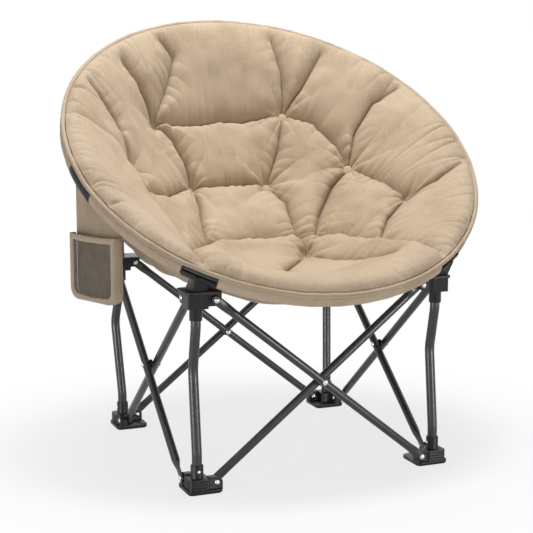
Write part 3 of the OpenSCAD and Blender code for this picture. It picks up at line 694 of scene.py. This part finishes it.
# The buttons: three domes covered in the cushion's cloth, pulled down into the upper tufts by
# thread through the pad, with the cloth gathered in small folds round each edge.
button_r = 0.011
slope_step = 0.070
button_set = []
for u, v in tufts[:3]:
    u, v = u * ring_r, v * ring_r
    near = np.array([
        [u + slope_step, v], [u - slope_step, v], [u, v + slope_step], [u, v - slope_step], [u, v],
    ])
    right, left, up, down, middle = cushion_top(near[:, 0], near[:, 1], with_folds=False)
    slope = Vector((
        float(left - right) / (2 * slope_step), float(down - up) / (2 * slope_step), 1
    )).normalized()
    bpy.ops.mesh.primitive_uv_sphere_add(segments=48, ring_count=24, radius=button_r)
    button = bpy.context.object
    for p in button.data.vertices:
        out = math.hypot(p.co.x, p.co.y) / button_r
        p.co.z *= 0.42 if p.co.z > 0 else 0.25
        p.co.z += 0.0004 * math.sin(14 * math.atan2(p.co.y, p.co.x)) * out ** 3
        if p.co.z > 0:
            p.co.z -= 0.0009 * math.exp(-((out / 0.18) ** 2))
    button.data.transform(
        seat_frame
        @ Matrix.Translation(Vector((u, v, float(middle))) + slope * 0.0030)
        @ Vector((0, 0, 1)).rotation_difference(slope).to_matrix().to_4x4()
    )
    bpy.ops.object.shade_smooth()
    button_set.append(button)
bpy.ops.object.select_all(action="DESELECT")
for button in button_set:
    button.select_set(True)
buttons = button_set[0]
buttons.name = "buttons_covered"
bpy.context.view_layer.objects.active = buttons
bpy.ops.object.join()
buttons.select_set(False)
buttons.data.materials.append(cushion_cloth)
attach(buttons, "seat")
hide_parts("buttons")
gather(buttons)

# The piping: a cord in a bias strip of the same cloth, sewn into the seam all round the rim where
# the pad's two faces meet, so that it waves a little with the stitches.
piping_level = 0.0197
trim_cloth = finish("trim_cloth_beige", 0.0, 0.85)
woven(trim_cloth, (0.610, 0.480, 0.345), (0.500, 0.385, 0.268), 0.0011, 0.0002)
bpy.ops.mesh.primitive_torus_add(
    major_segments=360, minor_segments=16, major_radius=0.4274, minor_radius=0.0045,
    location=(0, 0, 0),
)
piping = bpy.context.object
piping.name = "piping_round_rim"
for p in piping.data.vertices:
    a = math.atan2(p.co.y, p.co.x)
    wave = 0.0007 * math.sin(17 * a) * math.sin(5 * a + 1)
    p.co.z += piping_level + wave + 0.0003 * math.sin(61 * a)
    swell = 1 + 0.0008 * math.sin(23 * a + 2) * math.sin(9 * a)
    p.co.x *= swell
    p.co.y *= swell
piping.data.transform(seat_frame)
bpy.ops.object.shade_smooth()
piping.select_set(False)
piping.data.materials.append(trim_cloth)
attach(piping, "seat")
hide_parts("piping")
gather(piping)

# The ring sleeve: a hem of the sling's cloth that wraps the steel ring, cut away at the four clips
# and the two side joints, and creased where it is drawn round the curve.
sling_cloth = finish("sling_cloth_beige", 0.0, 0.88)
woven(sling_cloth, (0.625, 0.490, 0.350), (0.510, 0.390, 0.270), 0.0012, 0.0002)
sleeve_r, tube_side_r = 0.0148, 0.0112
clip_half, joint_half, cut_gap = 0.033, 0.043, 0.002
clip_turn = math.acos(post_half / ring_r)
clip_cut = (clip_half + cut_gap) / ring_r
joint_turn = math.radians(11)
joint_cut = (joint_half + cut_gap) / ring_r
breaks = [
    (clip_turn, clip_cut), (math.pi - clip_turn, clip_cut), (math.pi + joint_turn, joint_cut),
    (math.pi + clip_turn, clip_cut), (2 * math.pi - clip_turn, clip_cut),
    (2 * math.pi - joint_turn, joint_cut),
]
bpy.ops.mesh.primitive_torus_add(
    major_segments=540, minor_segments=24, major_radius=ring_r, minor_radius=sleeve_r,
    location=(0, 0, 0),
)
sleeve = bpy.context.object
sleeve.name = "ring_sleeve_cloth"
bpy.ops.object.mode_set(mode="EDIT")
for middle, half in breaks:
    for edge in (middle - half, middle + half):
        bpy.ops.mesh.select_all(action="SELECT")
        bpy.ops.mesh.bisect(
            plane_co=(0, 0, 0), plane_no=(-math.sin(edge), math.cos(edge), 0)
        )
bpy.ops.mesh.select_all(action="DESELECT")
bpy.ops.mesh.select_mode(type="FACE")
bpy.ops.object.mode_set(mode="OBJECT")
for face in sleeve.data.polygons:
    a = math.atan2(face.center.y, face.center.x) % (2 * math.pi)
    face.select = any(abs(a - middle) < half for middle, half in breaks)
bpy.ops.object.mode_set(mode="EDIT")
bpy.ops.mesh.delete(type="FACE")
bpy.ops.mesh.select_all(action="SELECT")
bpy.ops.mesh.region_to_loop()
bpy.ops.mesh.extrude_region_move()
bpy.ops.object.mode_set(mode="OBJECT")
for p in sleeve.data.vertices:
    a = math.atan2(p.co.y, p.co.x)
    centre = Vector((math.cos(a), math.sin(a), 0)) * ring_r
    out = p.co - centre
    turned = math.atan2(out.z, math.hypot(p.co.x, p.co.y) - ring_r)
    if p.select:
        p.co = centre + out.normalized() * tube_side_r
    else:
        wrinkle = (
            0.55 * math.sin(48 * a + 3 * turned + 2 * math.sin(5 * a))
            + 0.45 * math.sin(95 * a - 2 * turned + math.sin(13 * a))
        )
        shoulder = 0.26 * math.exp(-(((turned - 0.92) / 0.45) ** 2))
        wrinkled = 0.030 * wrinkle * (0.6 + 0.4 * math.sin(turned + 1))
        p.co = centre + out * (1.0 + shoulder + wrinkled)
sleeve.data.transform(seat_frame)
bpy.ops.object.shade_smooth_by_angle(angle=math.radians(60))
sleeve.select_set(False)
sleeve.data.materials.append(sling_cloth)
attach(sleeve, "seat")
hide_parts("ring_sleeve")
gather(sleeve)

# The sling: a deep bag of strong woven cloth that hangs in the ring and carries the cushion, sewn
# from eight gores whose seams show outside. It hangs slack at the two sides, with soft folds there.
theta = np.linspace(0, 2 * math.pi, 512, endpoint=False)
inner_face, outer_face = 0.003, 0.002


def slack(r):
    """How far the loose cloth hangs below the cushion: most at the two sides, held at the clips."""
    t = r / sling_r
    full = 0
    for side, front in ((207, 252), (333, 288)):
        full = full + 0.045 * bell(theta - math.radians(side), 0.42)
        full = full + 0.018 * bell(theta - math.radians(front), 0.35)
    for clip in (233, 307):
        full = full * (1 - 0.75 * t ** 6 * bell(theta - math.radians(clip), 0.11))
    return full * t ** 5 * (1 - t ** 2) / 0.123


def sling_under(r):
    near = fade(sling_r - r, 0.06) * (1 - fade(sling_r - r, 0.012))
    loose = 1 + 60 * slack(r)
    phase = 34 * theta + 2 * np.sin(5 * theta) + 6 * r / sling_r * np.sin(2 * theta)
    folds = 0.0022 * near * loose * np.sin(phase)
    seam = bell(np.sin(4 * theta), 0.05) * 0.0018 * min(1, r / 0.05)
    sag = 0.0015 * ripple(r * np.cos(theta), r * np.sin(theta), 14, 4.0) * (1 - r / sling_r)
    return bag(r) - slack(r) - outer_face - folds - seam + sag


rows = [
    spokes_at(r, bag(r) + inner_face - slack(r), theta) for r in np.linspace(0.006, sling_r, 60)
]
rows.append(spokes_at(sling_r, 0, theta))
rows += [spokes_at(r, sling_under(r), theta) for r in np.linspace(sling_r, 0.006, 60)[1:]]
sling = spoke_net(
    "sling_of_gores", rows, (0, 0, -bag_deep + inner_face), (0, 0, -bag_deep - 0.0015)
)
sling.data.materials.append(sling_cloth)


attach(sling, "seat")
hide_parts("sling")
gather(sling)

# The pocket: a flat panel of sling cloth sewn under the ring sleeve at the left, with a pouch of
# knitted net on it, edged all round with a wide folded tape.
pocket_w, pocket_h, pocket_deep, tape = 0.140, 0.126, 0.0154, 0.011
pocket_corner = 0.022
pocket_turn = math.radians(197)
half_turn = math.asin(pocket_w / 2 / ring_r / math.cos(seat_tilt) * math.cos(seat_tilt / 2))


def on_ring(turn):
    return seat_frame @ Vector((ring_r * math.cos(turn), ring_r * math.sin(turn), 0))


rear_end, front_end = on_ring(pocket_turn - half_turn), on_ring(pocket_turn + half_turn)
run = rear_end - front_end
pocket_slope = run.z / math.hypot(run.x, run.y)
sleeve_reach, sleeve_gap = 0.0154, 0.0015
clear = sleeve_reach * math.sqrt(1 + pocket_slope ** 2) + sleeve_gap
hem = -pocket_w / 2 * pocket_slope - clear
along_pocket = Vector((run.x, run.y, 0)).normalized()
outward = Vector((-along_pocket.y, along_pocket.x, 0))
pocket_frame = Matrix((
    (along_pocket.x, 0, outward.x, 0), (along_pocket.y, 0, outward.y, 0), (0, 1, 0, 0), (0, 0, 0, 1),
))
pocket_frame.translation = (rear_end + front_end) / 2


def pocket_edge(inset):
    """The pocket's outline, from its front top corner down and round to its rear top corner."""
    w, foot = pocket_w / 2 - inset, hem - pocket_h + inset
    corner = pocket_corner - inset * 0.7
    straight = pocket_h - inset - corner
    arc = [
        (corner - corner * math.cos(t), corner - corner * math.sin(t))
        for t in np.linspace(0, math.pi / 2, 8)
    ]
    path = [(-w, hem - t * straight) for t in np.linspace(0, 1, 12)[:-1]]
    path += [(x - w, foot + y) for x, y in arc]
    path += [(x, foot) for x in np.linspace(-w + corner, w - corner, 14)[1:-1]]
    path += [(w - x, foot + y) for x, y in arc[::-1]]
    path += [(w, foot + corner + t * straight) for t in np.linspace(0, 1, 12)[1:]]
    return path


def soft_piece(name, points, faces, paint, thickness=0.0, rounded=False):
    """A piece of the pocket: a skin that is given a thickness or rounded off."""
    mesh = bpy.data.meshes.new(name)
    mesh.from_pydata(points, [], faces)
    piece = bpy.data.objects.new(name, mesh)
    bpy.context.scene.collection.objects.link(piece)
    bpy.context.view_layer.objects.active = piece
    piece.select_set(True)
    bpy.ops.object.mode_set(mode="EDIT")
    bpy.ops.mesh.select_all(action="SELECT")
    bpy.ops.mesh.remove_doubles(threshold=0.00005)
    bpy.ops.mesh.normals_make_consistent(inside=False)
    bpy.ops.object.mode_set(mode="OBJECT")
    if thickness:
        wall = piece.modifiers.new("cloth", "SOLIDIFY")
        wall.thickness = thickness
        wall.offset = 0
        bpy.ops.object.modifier_apply(modifier="cloth")
    if rounded:
        soft = piece.modifiers.new("soft", "SUBSURF")
        soft.levels = soft.render_levels = 2
        bpy.ops.object.modifier_apply(modifier="soft")
    mesh.transform(pocket_frame)
    bpy.ops.object.shade_smooth_by_angle(angle=math.radians(55))
    piece.select_set(False)
    mesh.materials.append(paint)
    return piece


# panel behind the pouch, bowed a little, with its top edge along the sleeve
panel_points, panel_faces = [], []
panel_rows, panel_columns = 26, 28
for j in range(panel_rows + 1):
    for i in range(panel_columns + 1):
        x = -pocket_w / 2 + pocket_w * i / panel_columns
        top_y = x * pocket_slope - clear
        over = max(0, abs(x) - (pocket_w / 2 - pocket_corner))
        low_y = hem - pocket_h
        low_y += pocket_corner - math.sqrt(max(0, pocket_corner ** 2 - over ** 2))
        y = low_y + (top_y - low_y) * j / panel_rows
        bow = 0.0010 * math.sin(math.pi * i / panel_columns) * math.sin(9 * y / 0.1)
        panel_points.append((x, y, 0.0015 + bow))
for j in range(panel_rows):
    for i in range(panel_columns):
        a = j * (panel_columns + 1) + i
        panel_faces.append((a, a + 1, a + panel_columns + 2, a + panel_columns + 1))
panel = soft_piece("pocket_panel", panel_points, panel_faces, sling_cloth, thickness=0.0028)
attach(panel, "seat")
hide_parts("pocket_back")
gather(panel)

# net: fine square knit, 2.6 mm from strand to strand, bellied outwards like a used pocket
pitch = 0.0026
tuck = 0.003
net_corner, net_round = 0.011, 0.014
panel_face = 0.0032
net_level = panel_face + pocket_deep + 0.0004
net_points, net_faces, numbered = [], [], {}
columns = int((pocket_w - 2 * tape + 2 * tuck) / pitch)
rows_up = int((pocket_h - 2 * tape + 2 * tuck) / pitch)


def belly(x, y):
    middle = max(0, 1 - (2 * x / (pocket_w - 2 * tape)) ** 2)
    up = (y - (hem - pocket_h)) / pocket_h
    bulge = 0.0035 * middle * math.sin(math.pi * min(1, max(0, up)))
    return bulge + 0.001 * math.sin(40 * x + 25 * y)


def net_point(i, j):
    if (i, j) not in numbered:
        x = (i - columns / 2) * pitch
        y = hem - pocket_h + tape - tuck + j * pitch
        numbered[i, j] = len(net_points)
        net_points.append((x, y, net_level + belly(x, y)))
    return numbered[i, j]


for i in range(columns):
    for j in range(rows_up):
        past = abs((i + 0.5 - columns / 2) * pitch) - (pocket_w / 2 - tape - net_corner)
        under = net_corner - ((j + 0.5) * pitch - tuck)
        if past > 0 and under > 0 and math.hypot(past, under) > net_round:
            continue
        net_faces.append(tuple(
            net_point(i + di, j + dj) for di, dj in ((0, 0), (1, 0), (1, 1), (0, 1))
        ))
net_cord = finish("net_cord_taupe", 0.0, 0.7)
colour_between(net_cord, grain(net_cord, 60), (0.235, 0.195, 0.150), (0.300, 0.255, 0.200))
raise_by(net_cord, grain(net_cord, 2500, 2), 0.0002, 0.4)
net = soft_piece("pocket_net_knit", net_points, net_faces, net_cord)
strands = net.modifiers.new("strands", "WIREFRAME")
strands.thickness = 0.00105
strands.use_replace = True
bpy.ops.object.modifier_apply(modifier="strands")
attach(net, "seat")
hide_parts("pocket_net")
gather(net)

# tape: a folded strip down both sides and round the bottom, standing out from the panel to the
# net, and a hem across the mouth
front_level = panel_face + pocket_deep + 0.0014
tape_points, tape_faces = [], []
outer, inner = pocket_edge(0), pocket_edge(tape)
for (ox, oy), (ix, iy) in zip(outer, inner):
    mx, my = (ox + ix) / 2, (oy + iy) / 2
    tape_points += [
        (ox, oy, panel_face), (ox * 1.002, oy - 0.0002, 0.011), (ox, oy, front_level - 0.0015),
        (ox + (mx - ox) * 0.25, oy + (my - oy) * 0.25, front_level), (mx, my, front_level + 0.0004),
        (ix, iy, front_level), (ix, iy, front_level - 0.002),
    ]
for i in range(len(outer) - 1):
    for j in range(6):
        a = i * 7 + j
        tape_faces.append((a, a + 7, a + 8, a + 1))
edging = soft_piece(
    "pocket_edging", tape_points, tape_faces, trim_cloth, thickness=0.0016, rounded=True
)
hem_points, hem_faces = [], []
hem_steps = 30
hem_section = (
    (0.0, 0.0), (-0.0004, 0.0016), (-0.004, 0.0022), (-0.008, 0.0021), (-0.0115, 0.0014),
    (-0.0118, 0.0002), (-0.006, -0.0006),
)
for i in range(hem_steps + 1):
    x = -pocket_w / 2 + 0.0015 + (pocket_w - 0.003) * i / hem_steps
    middle = max(0, 1 - (2 * x / pocket_w) ** 2)
    bulge, droop = 0.0025 * middle, 0.002 * middle
    for y, z in hem_section:
        hem_points.append((x, hem + y - droop, front_level - 0.001 + z + bulge))
for i in range(hem_steps):
    for j in range(7):
        a, b = i * 7 + j, i * 7 + (j + 1) % 7
        hem_faces.append((a, b, b + 7, a + 7))
hem_faces.append(tuple(range(7)))
hem_faces.append(tuple(range(hem_steps * 7 + 6, hem_steps * 7 - 1, -1)))
mouth = soft_piece("pocket_mouth_hem", hem_points, hem_faces, trim_cloth, rounded=True)
for piece in (edging, mouth):
    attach(piece, "seat")
    gather(piece)
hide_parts("pocket_binding")
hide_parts("pocket_binding")

# The studio: a white floor that fades into the backdrop, soft lamps above, at the left, the front
# right and the rear, two strips that only show in gloss, and the photograph's camera.
bpy.ops.mesh.primitive_plane_add(size=14, location=(0, 0, 0))
floor = bpy.context.object
floor.name = "studio_floor"
floor.select_set(False)
paper = finish("studio_paper", 0.0, 0.95)
socket(paper, "Base Color").default_value = (0.9, 0.9, 0.9, 1)


def seen_directly(tree):
    """1 for rays from the camera or off a gloss, 0 for the light that falls on the chair."""
    path = tree.nodes.new("ShaderNodeLightPath")
    return maths(tree, "MAXIMUM", path.outputs["Is Camera Ray"], path.outputs["Is Glossy Ray"])


tree = paper.node_tree
glow = tree.nodes.new("ShaderNodeEmission")
glow.inputs["Strength"].default_value = 1.0
place = tree.nodes.new("ShaderNodeTexCoord")
away = tree.nodes.new("ShaderNodeVectorMath")
away.operation = "LENGTH"
tree.links.new(place.outputs["Object"], away.inputs[0])
white = spread(tree, away.outputs["Value"], 0.78, 1.0, start=0.30, end=0.90, interpolation="SMOOTHSTEP")
blend = tree.nodes.new("ShaderNodeMixShader")
tree.links.new(maths(tree, "MULTIPLY", seen_directly(tree), white), blend.inputs["Fac"])
tree.links.new(tree.nodes["Principled BSDF"].outputs["BSDF"], blend.inputs[1])
tree.links.new(glow.outputs["Emission"], blend.inputs[2])
tree.links.new(blend.outputs["Shader"], tree.nodes["Material Output"].inputs["Surface"])
floor.data.materials.append(paper)

scene = bpy.context.scene
scene.view_settings.view_transform = "Standard"
world = bpy.data.worlds.new("studio_air")
scene.world = world
world.use_nodes = True
tree = world.node_tree
air = tree.nodes["Background"]
air.inputs["Color"].default_value = (1, 1, 1, 1)
tree.links.new(spread(tree, seen_directly(tree), 0.12, 1.0), air.inputs["Strength"])


def lamp(name, power, size, place, aim, gloss_only=False):
    """A square softbox turned towards aim. A gloss_only one shows in gloss and lights nothing."""
    light = bpy.data.lights.new(name, "AREA")
    light.energy = power
    light.size = size
    holder = bpy.data.objects.new(name, light)
    scene.collection.objects.link(holder)
    holder.location = place
    holder.visible_diffuse = not gloss_only
    holder.rotation_euler = (Vector(aim) - Vector(place)).to_track_quat("-Z", "Y").to_euler()


lamp("key_softbox", 4, 0.35, (-1.4, -0.2, 2.3), (0, 0, 0.5))
lamp("top_softbox", 42, 0.6, (0.05, -0.15, 2.6), (0, 0, 0.4))
lamp("left_softbox", 7, 0.5, (-2.35, -0.75, 0.28), (0, 0, 0.25))
lamp("front_softbox", 7, 0.5, (1.15, -2.25, 0.28), (0, 0, 0.25))
lamp("left_strip", 26, 0.5, (-2.35, -0.78, 0.27), (0, 0, 0.20), gloss_only=True)
lamp("front_strip", 17, 0.5, (1.18, -2.25, 0.27), (0, 0, 0.20), gloss_only=True)
lamp("rear_softbox", 9, 1.2, (0.9, 2.7, 1.5), (0, 0, 0.4))

view = bpy.data.cameras.new("photo_view")
view.lens = 85.7
view.sensor_width = 36
camera = bpy.data.objects.new("photo_view", view)
scene.collection.objects.link(camera)
camera.location = (-0.999, -2.387, 0.770)
sight = Vector((-0.009, 0.015, 0.3774)) - camera.location
camera.rotation_euler = sight.to_track_quat("-Z", "Y").to_euler()
scene.camera = camera
